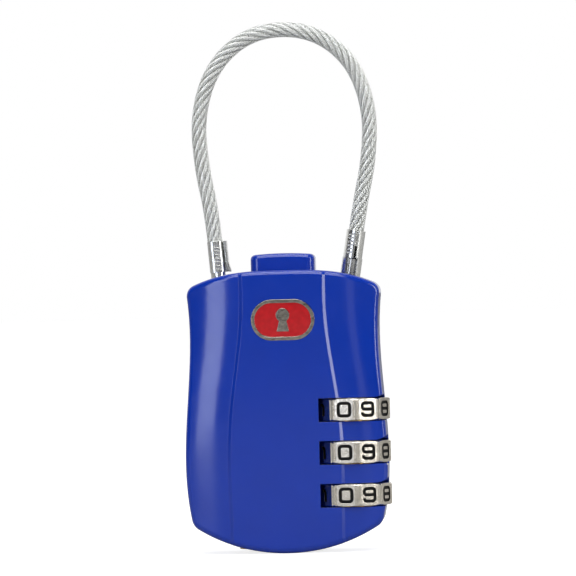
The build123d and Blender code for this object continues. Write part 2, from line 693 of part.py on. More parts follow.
def make_captive_stud():
    """The headed stud that stays in the anchor block."""
    with BuildPart() as stud:
        rod(HEAD_RADIUS, *HEAD_Z, CAPTIVE_X, 0)
        rod(STUD_RADIUS, HEAD_Z[0], TERMINAL_BASE - 0.2, CAPTIVE_X, 0)
        with BuildSketch(captive_plane(-0.5)):
            Circle(CAPTIVE_BOSS_RADIUS)
        extrude(amount=CAPTIVE_BOSS_HEIGHT + 0.5)
    return stud.part


def make_free_stud():
    """The grooved stud that plugs into the socket block, with a tapered tip."""
    with BuildPart() as stud:
        rod(STUD_RADIUS, FREE_STUD_TIP, TERMINAL_BASE - 0.3, FREE_X, 0)
        chamfer(stud.faces().sort_by(Axis.Z)[0].edges(), 0.6)
        with BuildSketch(level(CLIP_HEIGHT - 0.4, FREE_X, 0)):
            Circle(STUD_RADIUS + 1)
            Circle(CLIP_GROOVE_RADIUS, mode=Mode.SUBTRACT)
        extrude(amount=0.8, mode=Mode.SUBTRACT)
        with BuildSketch(free_plane(-0.6)):
            Circle(FREE_BOSS_RADIUS)
        extrude(amount=FREE_BOSS_HEIGHT + 0.6)
    return stud.part


def make_captive_ferrule():
    """A crimped tube with a folded side strip that flares outward at its foot."""
    strip_plane = Plane(
        origin=captive_plane(0).origin + Vector(0, 0.95, 0),
        x_dir=captive_plane(0).x_dir,
        z_dir=(0, -1, 0),
    )
    with BuildPart() as ferrule:
        with BuildSketch(captive_plane(0.2)):
            Circle(1.18)
            Circle(CAPTIVE_BOSS_RADIUS + 0.02, mode=Mode.SUBTRACT)
        extrude(amount=1.3)
        with BuildSketch(captive_plane(1.45)):
            RectangleRounded(2.5, 2.7, 0.9)
            with Locations((0.9, 1.1)):
                Rectangle(1.9, 0.4)
            Circle(ROPE_RADIUS + 0.03, mode=Mode.SUBTRACT)
        extrude(amount=CAPTIVE_TOP - 1.45)
        with BuildSketch(strip_plane):
            with BuildLine():
                Polyline(
                    (1.5, CAPTIVE_TOP - 0.15), (1.85, CAPTIVE_TOP), (1.85, 3.0), (2.15, 1.4),
                    (1.85, 1.4), (1.5, 2.9), close=True,
                )
            make_face()
        extrude(amount=2.1)
        for k in range(CRIMP_MARKS):
            with Locations(captive_plane(2.1 + CRIMP_PITCH * k)):
                with Locations(Location((0.25, -1.38, 0), (0, 14, 0))):
                    Box(0.9, CRIMP_DEPTH * 2, 0.26, mode=Mode.SUBTRACT)
    return ferrule.part


def make_free_ferrule():
    """A rolled sheet ferrule: an open slot over the stud and a narrow seam over the rope."""
    step = 3.3
    with BuildPart() as ferrule:
        with BuildSketch(free_plane(0.15)):
            Circle(1.6)
            Circle(FREE_BOSS_RADIUS + 0.03, mode=Mode.SUBTRACT)
            with Locations((0.2, -2)):
                Rectangle(1.35, 3.4, mode=Mode.SUBTRACT)
        extrude(amount=step - 0.15)
        with BuildSketch(free_plane(step)):
            Circle(1.5)
            Circle(ROPE_RADIUS + 0.03, mode=Mode.SUBTRACT)
            with Locations((0.38, -2)):
                Rectangle(0.42, 4, mode=Mode.SUBTRACT)
        extrude(amount=FREE_TOP - step)
        for k in range(CRIMP_MARKS - 1):
            with Locations(free_plane(4.1 + CRIMP_PITCH * k)):
                with Locations(Location((-0.55, -1.36, 0), (0, -14, -22))):
                    Box(0.8, CRIMP_DEPTH * 2, 0.26, mode=Mode.SUBTRACT)
    return ferrule.part


def cable_route():
    """Corners of the cable's route in X and Z, from inside the captive ferrule to the free one."""
    route = [captive_plane(ROPE_START).origin, captive_plane(CAPTIVE_CORNER).origin]
    route += [Vector(x, 0, z) for x, z in CABLE_LOOP]
    route += [free_plane(FREE_CORNER).origin, free_plane(ROPE_END).origin]
    return route


def cable_radii(route):
    """The largest tangent arc that each corner's two runs leave room for."""
    radii = []
    for before, corner, after in zip(route, route[1:], route[2:]):
        turn = math.radians((corner - before).get_angle(after - corner))
        shorter = min((corner - before).length, (after - corner).length)
        radii.append(0.45 * shorter / math.tan(turn / 2))
    return radii


def make_cable(route, radii, outer, inner=None):
    """A tube or rod swept along the filleted route."""
    start = route[0]
    with BuildPart() as cable:
        with BuildLine() as path:
            FilletPolyline(*route, radius=radii)
        with BuildSketch(Plane(origin=start, z_dir=route[1] - start, x_dir=(0, 1, 0))):
            Circle(outer)
            if inner:
                Circle(inner, mode=Mode.SUBTRACT)
        sweep(path=path.line)
    return cable.part, sum(edge.length for edge in path.line.edges())


def make_key_cylinder():
    """The fixed sleeve round the key plug, broached with a cross for the wafers."""
    with BuildPart() as cylinder:
        rod(CYLINDER_RADIUS, CYLINDER_BOTTOM, CYLINDER_TOP, KEY_X, 0)
        rod(PLUG_RADIUS + PLUG_CLEARANCE, 0, 20, KEY_X, 0, mode=Mode.SUBTRACT)
        for turn in (0, 90):
            with Locations(Location((KEY_X, 0, 8), (0, 0, turn))):
                Box(WAFER_WIDTH + 0.3, 7.4, 10, mode=Mode.SUBTRACT)
    return cylinder.part


def make_key_plug():
    """The turning plug with its keyway, four wafer slots and a flatted tail."""
    with BuildPart() as plug:
        rod(PLUG_RADIUS, PLUG_BOTTOM, PLUG_TOP, KEY_X, 0)
        rod(TAIL_RADIUS, PLUG_TOP - 1, TAIL_TOP, KEY_X, 0)
        span_box(
            KEY_X + TAIL_RADIUS - 0.4, KEY_X + 3, -2, 2, CAM_BOTTOM - 0.1, TAIL_TOP,
            mode=Mode.SUBTRACT,
        )
        with BuildSketch(level(RETAINER_BOTTOM - 0.05, KEY_X, 0)):
            Circle(TAIL_RADIUS + 1)
            Circle(TAIL_RADIUS - 0.3, mode=Mode.SUBTRACT)
        extrude(amount=RETAINER_THICKNESS + 0.1, mode=Mode.SUBTRACT)
        with Locations((KEY_X, 0, 6)):
            Box(KEYWAY_WIDTH, KEYWAY_DEPTH, 13.2, mode=Mode.SUBTRACT)
        for k in range(WAFER_COUNT):
            with Locations((KEY_X, 0, FIRST_WAFER_HEIGHT + WAFER_PITCH * k)):
                Box(WAFER_WIDTH + 0.1, 7, WAFER_THICKNESS + 0.1, mode=Mode.SUBTRACT)
    return plug.part


def make_wafer(k):
    """One sprung plate that the key lifts flush with the plug."""
    with BuildPart() as wafer:
        with BuildSketch(level(FIRST_WAFER_HEIGHT + WAFER_PITCH * k - WAFER_THICKNESS / 2, KEY_X, 0)):
            RectangleRounded(WAFER_WIDTH, WAFER_LENGTH, 0.3)
            RectangleRounded(KEYWAY_WIDTH + 0.3, KEYWAY_DEPTH + 0.2, 0.2, mode=Mode.SUBTRACT)
        extrude(amount=WAFER_THICKNESS)
    return wafer.part


def make_plug_retainer():
    """An open ring that snaps into the tail's neck above the cylinder."""
    with BuildPart() as ring:
        with BuildSketch(level(RETAINER_BOTTOM, KEY_X, 0)):
            Circle(3.6)
            Circle(TAIL_RADIUS - 0.25, mode=Mode.SUBTRACT)
            with Locations((0, 3)):
                Rectangle(2 * TAIL_RADIUS - 0.6, 6, mode=Mode.SUBTRACT)
        extrude(amount=RETAINER_THICKNESS)
    return ring.part


def make_key_cam():
    """A face cam: a tube cut off at a slant, so that a quarter turn lifts the bar's foot."""
    slope = OVERRIDE_TRAVEL / math.sqrt(2) / 2.5
    lean = slope / math.sqrt(2)
    with BuildPart() as cam:
        rod(3.3, CAM_BOTTOM, CAM_HEIGHT + 3, KEY_X, 0)
        rod(TAIL_RADIUS + 0.02, CAM_BOTTOM, CAM_HEIGHT + 3, KEY_X, 0, mode=Mode.SUBTRACT)
        slant = Plane(origin=(KEY_X, 0, CAM_HEIGHT), z_dir=(lean, lean, 1))
        split(bisect_by=slant, keep=Keep.BOTTOM)
        span_box(
            KEY_X + TAIL_RADIUS - 0.36, KEY_X + TAIL_RADIUS + 0.3, -1.0, 1.0, CAM_BOTTOM,
            TAIL_TOP - 0.2,
        )
    return cam.part


def make_override_bar():
    """The bar that the cam lifts; its tapered nose rises between the legs of the clip."""
    arm_y0 = OVERRIDE_ARM_Y[0]
    nose_low = OVERRIDE_ARM_Z[1]
    nose_top = CLIP_HEIGHT - CLIP_THICKNESS / 2 - 0.25
    with BuildPart() as bar:
        span_box(OVERRIDE_X - 0.4, OVERRIDE_X + 0.4, -0.5, 0.5, OVERRIDE_FOOT, OVERRIDE_ARM_Z[1])
        span_box(OVERRIDE_X - 0.4, OVERRIDE_X + 0.4, -0.5, OVERRIDE_ARM_Y[1], *OVERRIDE_ARM_Z)
        span_box(OVERRIDE_X - 0.4, OVERRIDE_NOSE_X[1], arm_y0, OVERRIDE_ARM_Y[1], *OVERRIDE_ARM_Z)
        span_box(*OVERRIDE_NOSE_X, -1.3, OVERRIDE_ARM_Y[1], *OVERRIDE_ARM_Z)
        with BuildSketch(facing_right(OVERRIDE_NOSE_X[0])):
            with BuildLine():
                Polyline(
                    (-1.3, nose_low), (-1.3, nose_top - 1.2), (-0.7, nose_top), (0.7, nose_top),
                    (1.3, nose_top - 1.2), (1.3, nose_low), close=True,
                )
            make_face()
        extrude(amount=OVERRIDE_NOSE_X[1] - OVERRIDE_NOSE_X[0])
    return bar.part


def make_reset_plunger():
    """The pin at the bottom of the socket, pushed to free the dials from their sleeves."""
    with BuildPart() as plunger:
        rod(RESET_TIP_RADIUS, COMB_ARM_Z[1], RESET_TIP_TOP, FREE_X, 0)
    return plunger.part


def make_reset_comb():
    """The bar with an arm under the plunger and a fork in the groove of each sleeve."""
    slot = SLEEVE_GROOVE_RADIUS + FORK_CLEARANCE
    lowest_fork = DIAL_HEIGHTS[-1] + FORK_TOP - FORK_THICKNESS
    with BuildPart() as comb:
        span_box(*COMB_BAR_X, *COMB_BAR_Y, lowest_fork - 0.2, COMB_ARM_Z[1])
        span_box(COMB_BAR_X[0], FREE_X + 1.3, -1.3, COMB_BAR_Y[1], *COMB_ARM_Z)
        for z in DIAL_HEIGHTS:
            low = z + FORK_TOP - FORK_THICKNESS
            with BuildSketch(level(low)):
                with Locations(((COMB_BAR_X[0] + FORK_ROOT_X + 0.5) / 2, sum(FORK_ROOT_Y) / 2)):
                    Rectangle(FORK_ROOT_X + 0.5 - COMB_BAR_X[0], FORK_ROOT_Y[1] - FORK_ROOT_Y[0])
                with Locations(((FORK_ROOT_X + FORK_TIP_X) / 2, DIAL_AXIS_Y)):
                    Rectangle(FORK_TIP_X - FORK_ROOT_X, 2 * FORK_HALF_SPAN)
                with Locations((DIAL_AXIS_X, DIAL_AXIS_Y)):
                    Circle(slot, mode=Mode.SUBTRACT)
                with Locations((DIAL_AXIS_X + 3, DIAL_AXIS_Y)):
                    Rectangle(6, 2 * slot, mode=Mode.SUBTRACT)
            extrude(amount=FORK_THICKNESS)
    return comb.part


def make_detent_spring():
    """A leaf with a bump beside each dial that gives the click between digits."""
    radius = DIAL_RADIUS + 0.55
    low = 5.4
    high = UPPER_POCKET_Z - 0.3
    with BuildPart() as leaf:
        with Locations(Location((DIAL_AXIS_X, DIAL_AXIS_Y, 0), (0, 0, DETENT_ANGLE))):
            with Locations((radius, 0, (low + high) / 2)):
                Box(DETENT_THICKNESS, DETENT_WIDTH, high - low)
            bump = radius - DIAL_RADIUS - DETENT_GAP
            for z in DIAL_HEIGHTS:
                with Locations((radius - bump / 2, 0, z)):
                    Box(bump, 0.5, 1.6)
    return leaf.part


def make_badge():
    """A metal badge with a raised rim and a raised keyhole sign."""
    back = Plane(origin=(0, -HALF + BADGE_RECESS, BADGE_Z), x_dir=(1, 0, 0), z_dir=(0, -1, 0))
    with BuildPart() as badge:
        extrude(slot_sketch(back, BADGE_WIDTH, BADGE_HEIGHT), amount=BADGE_RIM_HEIGHT)
        inner = slot_sketch(
            back.offset(BADGE_BASE), BADGE_WIDTH - 2 * BADGE_RIM, BADGE_HEIGHT - 2 * BADGE_RIM
        )
        extrude(inner, amount=2, mode=Mode.SUBTRACT)
        extrude(keyhole_sketch(back, 0), amount=BADGE_RIM_HEIGHT)
    return badge.part


def make_badge_enamel():
    """The coloured fill inside the badge's rim, round the keyhole sign."""
    back = Plane(
        origin=(0, -HALF + BADGE_RECESS - BADGE_BASE, BADGE_Z), x_dir=(1, 0, 0), z_dir=(0, -1, 0)
    )
    gap = 0.02
    fill = slot_sketch(
        back, BADGE_WIDTH - 2 * BADGE_RIM - 2 * gap, BADGE_HEIGHT - 2 * BADGE_RIM - 2 * gap
    )
    with BuildPart() as enamel:
        extrude(fill, amount=BADGE_RIM_HEIGHT - BADGE_BASE - 0.08)
        extrude(keyhole_sketch(back, gap), amount=2, mode=Mode.SUBTRACT)
    return enamel.part


def keyhole_sketch(plane, gap):
    """A plain keyhole: a round eye over a flared skirt."""
    with BuildSketch(plane) as keyhole:
        with Locations((0, 0.75)):
            Circle(1.05 + gap)
        with BuildLine():
            Polyline(
                (-0.4 - gap, 0.6), (-0.95 - gap, -1.8 - gap), (0.95 + gap, -1.8 - gap),
                (0.4 + gap, 0.6), close=True,
            )
        make_face()
    return keyhole.sketch


def make_cover_pins():
    """The four blind rivets that hold the two shells together."""
    with BuildPart() as pins:
        for x, z in PIN_PLACES:
            with Locations(Location((x, (PIN_FRONT_Y + PIN_REAR_Y) / 2, z), (90, 0, 0))):
                Cylinder(PIN_RADIUS, PIN_REAR_Y - PIN_FRONT_Y)
    return pins.part


def write(name, shape):
    """Label a finished piece and write it as its own file."""
    shape.label = name
    export_step(shape, f"parts/{name}.step")


def build_all():
    """Build and write every piece."""
    space = mechanism_space()
    write("front_cover", make_front_cover(space))
    write("rear_cover", make_rear_cover(space))
    write("cover_pins", make_cover_pins())
    write("badge", make_badge())
    write("badge_enamel", make_badge_enamel())
    for i, z in enumerate(DIAL_HEIGHTS, start=1):
        write(f"dial_{i}", make_dial(z))
        write(f"gate_sleeve_{i}", make_gate_sleeve(z))
    write("detent_spring", make_detent_spring())
    write("spindle", make_spindle())
    write("release_bridge", make_release_bridge())
    write("release_button", make_release_button())
    shelf_top = SHELF_Z + SHELF_THICKNESS
    write("button_spring", coil_spring(0, DIAL_AXIS_Y, shelf_top, BRIDGE_BOTTOM, 1.4, 0.2, 5))
    write(
        "spindle_spring",
        coil_spring(DIAL_AXIS_X, DIAL_AXIS_Y, SPINDLE_SEAT_TOP, BRIDGE_BOTTOM, 1.75, 0.16, 3),
    )
    write("latch_clip", make_latch_clip())
    write("socket_block", make_socket_block())
    write("anchor_block", make_anchor_block())
    write("captive_stud", make_captive_stud())
    write("captive_ferrule", make_captive_ferrule())
    write("free_stud", make_free_stud())
    write("free_ferrule", make_free_ferrule())
    route = cable_route()
    jacket_route = [captive_plane(CAPTIVE_TOP).origin, *route[1:-1], free_plane(FREE_TOP).origin]
    radii = cable_radii(jacket_route)
    rope, rope_length = make_cable(route, radii, ROPE_RADIUS)
    jacket, jacket_length = make_cable(jacket_route, radii, JACKET_RADIUS, JACKET_INNER_RADIUS)
    write("cable_core", rope)
    write("cable_jacket", jacket)
    print("cable radii", [round(radius, 1) for radius in radii])
    print("rope length", round(rope_length, 2), "jacket length", round(jacket_length, 2))
    print("rope volume share", round(rope.volume / (math.pi * ROPE_RADIUS**2 * rope_length), 4))
    write("key_cylinder", make_key_cylinder())
    write("key_plug", make_key_plug())
    for k in range(WAFER_COUNT):
        write(f"wafer_{k + 1}", make_wafer(k))
    write("plug_retainer", make_plug_retainer())
    write("key_cam", make_key_cam())
    write("override_bar", make_override_bar())
    write("reset_plunger", make_reset_plunger())
    write("reset_comb", make_reset_comb())
    comb_foot = DIAL_HEIGHTS[-1] + FORK_TOP - FORK_THICKNESS - 0.2
    spring_x = sum(COMB_BAR_X) / 2
    spring_y = sum(COMB_BAR_Y) / 2
    write("reset_spring", coil_spring(spring_x, spring_y, FLOOR_Z, comb_foot, 0.7, 0.14, 4))


os.makedirs("parts", exist_ok=True)
build_all()
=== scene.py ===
"""Luggage padlock: finishes, numbered dials, stranded cable loop and studio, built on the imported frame."""

import json
import math

import bmesh
import bpy
from bpy.props import FloatProperty, FloatVectorProperty, IntProperty, PointerProperty
from mathutils import Matrix, Vector

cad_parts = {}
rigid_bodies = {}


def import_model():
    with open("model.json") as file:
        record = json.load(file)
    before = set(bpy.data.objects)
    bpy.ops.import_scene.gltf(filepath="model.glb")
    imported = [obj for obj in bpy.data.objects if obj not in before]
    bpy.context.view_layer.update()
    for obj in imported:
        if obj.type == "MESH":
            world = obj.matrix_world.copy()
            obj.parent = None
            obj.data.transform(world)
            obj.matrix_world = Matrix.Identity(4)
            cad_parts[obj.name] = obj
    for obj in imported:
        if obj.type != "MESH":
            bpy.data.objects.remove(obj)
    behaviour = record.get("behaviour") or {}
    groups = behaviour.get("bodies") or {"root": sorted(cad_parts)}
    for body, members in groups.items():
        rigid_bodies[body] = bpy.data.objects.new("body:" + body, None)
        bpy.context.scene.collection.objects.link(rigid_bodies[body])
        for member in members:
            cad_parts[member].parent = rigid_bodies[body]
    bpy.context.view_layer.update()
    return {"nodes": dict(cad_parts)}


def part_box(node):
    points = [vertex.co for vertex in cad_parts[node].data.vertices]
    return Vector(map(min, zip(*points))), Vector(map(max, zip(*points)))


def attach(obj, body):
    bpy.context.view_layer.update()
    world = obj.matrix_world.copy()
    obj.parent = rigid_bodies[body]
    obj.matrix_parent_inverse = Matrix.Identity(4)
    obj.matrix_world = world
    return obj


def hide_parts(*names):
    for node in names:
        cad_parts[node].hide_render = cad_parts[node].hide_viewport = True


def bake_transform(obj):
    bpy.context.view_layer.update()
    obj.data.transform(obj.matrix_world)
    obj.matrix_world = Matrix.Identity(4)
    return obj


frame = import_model()

bl_info = {
    "name": "Luggage Padlock",
    "version": (1, 0, 0),
    "blender": (4, 5, 0),
    "location": "View3D > Sidebar > Padlock",
    "description": "Finishes a packed luggage padlock: lacquer, numbered dials, wire rope and studio",
    "category": "Object",
}

MM = 0.001
DIAL_COUNT = 3
DIGIT_COUNT = 10
FRONT_DIGIT_ANGLE = -98.0
# Half of the rounded rib between two faces of a dial, in degrees
DIAL_RIB_HALF_ANGLE = 2.6
SHARP_ANGLE = math.radians(32)

# Leaning axes of the two cable terminals: foot X, foot Z and lean outwards, in mm and degrees
CAPTIVE_AXIS = (-10.3, 43.2, -4.5)
FREE_AXIS = (10.5, 43.2, 9.2)
# Distances along those axes, in mm, of the rope's and coating's ends and the loop's first corners
ROPE_START = 4.0
ROPE_END = 5.2
JACKET_START = 6.4
JACKET_END = 7.7
CAPTIVE_CORNER = 11.0
FREE_CORNER = 12.2

# Corners of the cable loop between its straight ends, X and Z in mm
CABLE_LOOP = [
    (-12.6, 61.0),
    (-13.2, 69.8),
    (-10.4, 77.9),
    (-4.0, 83.0),
    (4.9, 83.1),
    (11.5, 78.3),
    (14.4, 70.4),
    (14.0, 62.0),
]

# Wires in a strand, their radius and circle as shares of the strand's radius, and sampling steps
WIRES_PER_STRAND = 6
WIRE_SHARE = 1 / 3
WIRE_CIRCLE_SHARE = 2 / 3
ROPE_SAMPLE = 0.3 * MM
COATING_SAMPLE = 0.6 * MM

# Studio: what the camera looks at, its sensor, the floor's radius and the lights' distance
CAMERA_TARGET = Vector((0.64 * MM, 0, 41.9 * MM))
SENSOR_WIDTH = 36
FLOOR_RADIUS = 6.0
FLOOR_GLOW = 0.8
LIGHT_TARGET = Vector((0, 0, 42 * MM))
LIGHT_DISTANCE = 1.0

# Coil springs and the body that presses each from above
SPRINGS = {"button_spring": "release", "spindle_spring": "release", "reset_spring": "reset"}

# Corners of a squarish digit, across and up in half widths and half heights
STROKE_POINTS = {
    "a": (-1, 1),
    "b": (1, 1),
    "c": (-1, 0),
    "d": (1, 0),
    "e": (-1, -1),
    "f": (1, -1),
    "g": (-0.5, 0.7),
    "k": (-0.3, 0),
    "m": (0.1, 1),
    "n": (0.1, -1),
    "p": (-1, -0.5),
}
# Each digit's strokes; one that ends where it starts is a closed loop
DIGIT_STROKES = {
    0: ["abfea"],
    1: ["gmn"],
    2: ["abdcef"],
    3: ["abfe", "kd"],
    4: ["acd", "bf"],
    5: ["bacdfe"],
    6: ["baefdc"],
    7: ["abn"],
    8: ["abfea", "cd"],
    9: ["dcabfep"],
}


def srgb(code):
    """Linear RGBA of an sRGB hex colour."""
    channels = [int(code[i:i + 2], 16) / 255 for i in (0, 2, 4)]
    linear = [c / 12.92 if c <= 0.04045 else ((c + 0.055) / 1.055) ** 2.4 for c in channels]
    return (*linear, 1.0)


def add_node(tree, kind, inputs=None, **settings):
    """A node with its settings; each input is a value or the socket that feeds it."""
    made = tree.nodes.new(kind)
    for name, value in settings.items():
        setattr(made, name, value)
    for name, value in (inputs or {}).items():
        if isinstance(value, bpy.types.NodeSocket):
            tree.links.new(value, made.inputs[name])
        else:
            made.inputs[name].default_value = value
    return made


# ---------------------------------------------------------------- properties


class FinishSettings(bpy.types.PropertyGroup):
    lacquer: FloatVectorProperty(
        name="Lacquer", description="Colour of the sprayed housing and button",
        subtype="COLOR", size=4, min=0, max=1, default=srgb("0633A4"),
    )
    enamel: FloatVectorProperty(
        name="Enamel", description="Colour of the badge's fill",
        subtype="COLOR", size=4, min=0, max=1, default=srgb("C4121B"),
    )
    nickel: FloatVectorProperty(
        name="Nickel", description="Colour of the plated dials and badge",
        subtype="COLOR", size=4, min=0, max=1, default=srgb("DDD6CA"),
    )
    steel: FloatVectorProperty(
        name="Steel", description="Colour of the ferrules and the wire rope",
        subtype="COLOR", size=4, min=0, max=1, default=srgb("EDEDEA"),
    )


class DialSettings(bpy.types.PropertyGroup):
    digit_width: FloatProperty(
        name="Digit width", description="Width of a digit over its strokes",
        unit="LENGTH", min=0.001, max=0.003, default=2.35 * MM,
    )
    digit_height: FloatProperty(
        name="Digit height", description="Height of a digit over its strokes",
        unit="LENGTH", min=0.001, max=0.003, default=2.5 * MM,
    )
    stroke: FloatProperty(
        name="Stroke", description="Width of an engraved stroke",
        unit="LENGTH", min=0.0001, max=0.001, default=0.52 * MM,
    )
    depth: FloatProperty(
        name="Depth", description="Depth of the engraving",
        unit="LENGTH", min=0.00005, max=0.0005, default=0.16 * MM,
    )
    corner: FloatProperty(
        name="Corner radius", description="Radius of a stroke's corners on its middle line",
        unit="LENGTH", min=0, max=0.001, default=0.42 * MM,
    )


class CableSettings(bpy.types.PropertyGroup):
    jacket: FloatProperty(
        name="Coating diameter", description="Outside diameter of the clear coating",
        unit="LENGTH", min=0.001, max=0.006, default=2.4 * MM,
    )
    rope: FloatProperty(
        name="Rope diameter", description="Diameter of the wire rope",
        unit="LENGTH", min=0.001, max=0.005, default=2.0 * MM,
    )
    lay: FloatProperty(
        name="Lay length", description="Length of the rope in which a strand goes round once",
        unit="LENGTH", min=0.002, max=0.05, default=10.5 * MM,
    )
    wire_lay: FloatProperty(
        name="Wire lay", description="Length in which a wire goes round its strand once",
        unit="LENGTH", min=0.001, max=0.05, default=3.6 * MM,
    )
    strands: IntProperty(
        name="Strands", description="Strands round the core", min=3, max=12, default=6,
    )


class StageSettings(bpy.types.PropertyGroup):
    distance: FloatProperty(
        name="Camera distance", description="From the camera to the middle of the lock",
        unit="LENGTH", min=0.2, max=3, default=0.7,
    )
    view_height: FloatProperty(
        name="View height", description="Height of the picture where the lock stands",
        unit="LENGTH", min=0.05, max=0.5, default=91.7 * MM,
    )
    azimuth: FloatProperty(
        name="Azimuth", description="Angle of the camera to the right of the front",
        subtype="ANGLE", default=math.radians(3),
    )
    roll: FloatProperty(
        name="Roll", description="Turn of the camera about its own line of sight",
        subtype="ANGLE", default=math.radians(-1.4),
    )


# ---------------------------------------------------------------- finishes


def shader(name, **sockets):
    """A node material, its tree and its Principled shader with the uniform values set on it."""
    material = bpy.data.materials.new(name)
    material.use_nodes = True
    tree = material.node_tree
    tree.nodes.clear()
    values = {key.replace("_", " "): value for key, value in sockets.items()}
    surface = add_node(tree, "ShaderNodeBsdfPrincipled", values)
    add_node(tree, "ShaderNodeOutputMaterial", {"Surface": surface.outputs["BSDF"]})
    return material, tree, surface


def grain(tree, size_mm, stretch=(1, 1, 1), detail=3.0):
    """Noise whose grains are about that size, drawn out along the axes with a small stretch value."""
    place = add_node(tree, "ShaderNodeTexCoord")
    scaled = add_node(
        tree, "ShaderNodeMapping", {"Vector": place.outputs["Object"], "Scale": stretch}
    )
    noise = add_node(
        tree, "ShaderNodeTexNoise",
        {"Vector": scaled.outputs["Vector"], "Scale": 1 / (size_mm * MM), "Detail": detail},
    )
    return noise.outputs["Fac"]


def spread(tree, source, low, high):
    """The noise value taken from its usual middle range to between low and high."""
    ranged = add_node(
        tree, "ShaderNodeMapRange",
        {"Value": source, "From Min": 0.3, "From Max": 0.7, "To Min": low, "To Max": high},
    )
    return ranged.outputs["Result"]


def rounded_relief(tree, surface, source, height_mm, edge_mm=0.0):
    """A bump from the source over edges that are broken by the given radius."""
    inputs = {"Height": source, "Distance": height_mm * MM, "Strength": 1.0}
    if edge_mm:
        edge = add_node(tree, "ShaderNodeBevel", {"Radius": edge_mm * MM}, samples=6)
        inputs["Normal"] = edge.outputs["Normal"]
    bump = add_node(tree, "ShaderNodeBump", inputs)
    tree.links.new(bump.outputs["Normal"], surface.inputs["Normal"])


def mottled(tree, surface, source, colour, shade):
    """Base colour that wanders between the colour and a darker shade of it."""
    darker = (*(c * shade for c in colour[:3]), 1.0)
    mix = add_node(
        tree, "ShaderNodeMix", {"Factor": source, "A": colour, "B": darker}, data_type="RGBA"
    )
    tree.links.new(mix.outputs[2], surface.inputs["Base Color"])


def blue_lacquer(colour):
    """Sprayed and baked lacquer on die-cast zinc: deep colour under a clear gloss, with a faint
    orange peel about a millimetre across that softens long reflections."""
    material, tree, surface = shader("sprayed_blue_lacquer", IOR=1.48, Coat_Weight=0.2, Coat_Roughness=0.08)
    mottled(tree, surface, spread(tree, grain(tree, 6.0), 0.0, 1.0), colour, 0.93)
    peel = grain(tree, 0.9, detail=2.0)
    tree.links.new(spread(tree, grain(tree, 2.4), 0.14, 0.19), surface.inputs["Roughness"])
    rounded_relief(tree, surface, peel, 0.0012, edge_mm=0.14)
    return material


def nickel_plate(colour):
    """Bright nickel on a cast dial: warm white metal whose casting shows as slow waves and
    small pits, so that reflections break up inside each face."""
    material, tree, surface = shader("bright_nickel_plate", Metallic=1.0)
    mottled(tree, surface, spread(tree, grain(tree, 0.6), 0.0, 1.0), colour, 0.82)
    tree.links.new(spread(tree, grain(tree, 0.35), 0.07, 0.2), surface.inputs["Roughness"])
    rounded_relief(tree, surface, grain(tree, 0.8, detail=4.0), 0.012, edge_mm=0.07)
    return material


def digit_paint():
    """Black paint wiped into the engraving: matt, a little uneven and dusty."""
    material, tree, surface = shader("wiped_black_paint", IOR=1.5, Specular_IOR_Level=0.2)
    mottled(tree, surface, spread(tree, grain(tree, 0.3), 0.0, 1.0), srgb("0E0C0A"), 0.5)
    tree.links.new(spread(tree, grain(tree, 0.2), 0.45, 0.7), surface.inputs["Roughness"])
    rounded_relief(tree, surface, grain(tree, 0.1), 0.004)
    return material


def crimped_steel(colour):
    """Plated steel strip rolled and crimped into a tube: bright, with fine lines along the roll
    and duller patches where the jaws pressed."""
    material, tree, surface = shader("crimped_steel_strip", Metallic=1.0)
    mottled(tree, surface, spread(tree, grain(tree, 0.45), 0.0, 1.0), colour, 0.86)
    rolled = grain(tree, 0.16, stretch=(1, 1, 0.08), detail=4.0)
    tree.links.new(spread(tree, rolled, 0.14, 0.34), surface.inputs["Roughness"])
    rounded_relief(tree, surface, rolled, 0.006, edge_mm=0.06)
    return material


def rope_wire(colour):
    """Drawn steel wire, bright where it is rubbed and greyer between, seen through its coating."""
    material, tree, surface = shader("drawn_rope_wire", Metallic=0.55)
    mottled(tree, surface, spread(tree, grain(tree, 0.5), 0.0, 1.0), colour, 0.88)
    tree.links.new(spread(tree, grain(tree, 0.3), 0.24, 0.4), surface.inputs["Roughness"])
    rounded_relief(tree, surface, grain(tree, 0.12), 0.003)
    return material


def clear_vinyl():
    """Extruded clear PVC: see-through and glossy, with slow waves from the die along the rope."""
    material, tree, surface = shader(
        "extruded_clear_vinyl", Base_Color=srgb("FAFCFC"), IOR=1.4, Transmission_Weight=1.0,
    )
    tree.links.new(spread(tree, grain(tree, 1.5), 0.02, 0.06), surface.inputs["Roughness"])
    rounded_relief(tree, surface, grain(tree, 1.8, detail=1.0), 0.01)
    return material


def spring_steel():
    """Hard drawn spring steel: mid grey, with drawing lines and a faint straw tint in patches."""
    material, tree, surface = shader("hard_drawn_spring_steel", Metallic=1.0)
    mottled(tree, surface, spread(tree, grain(tree, 1.2), 0.0, 1.0), srgb("B0ADA6"), 0.7)
    tree.links.new(spread(tree, grain(tree, 0.2), 0.22, 0.4), surface.inputs["Roughness"])
    rounded_relief(tree, surface, grain(tree, 0.15), 0.003)
    return material


def turned_steel():
    """Free-cutting steel off the lathe or punch: satin, with fine level tool lines."""
    material, tree, surface = shader("turned_steel", Metallic=1.0)
    lines = grain(tree, 0.1, stretch=(0.05, 0.05, 1), detail=2.0)
    mottled(tree, surface, spread(tree, grain(tree, 1.5), 0.0, 1.0), srgb("C2C2C0"), 0.78)
    tree.links.new(spread(tree, lines, 0.2, 0.38), surface.inputs["Roughness"])
    rounded_relief(tree, surface, lines, 0.004, edge_mm=0.06)
    return material


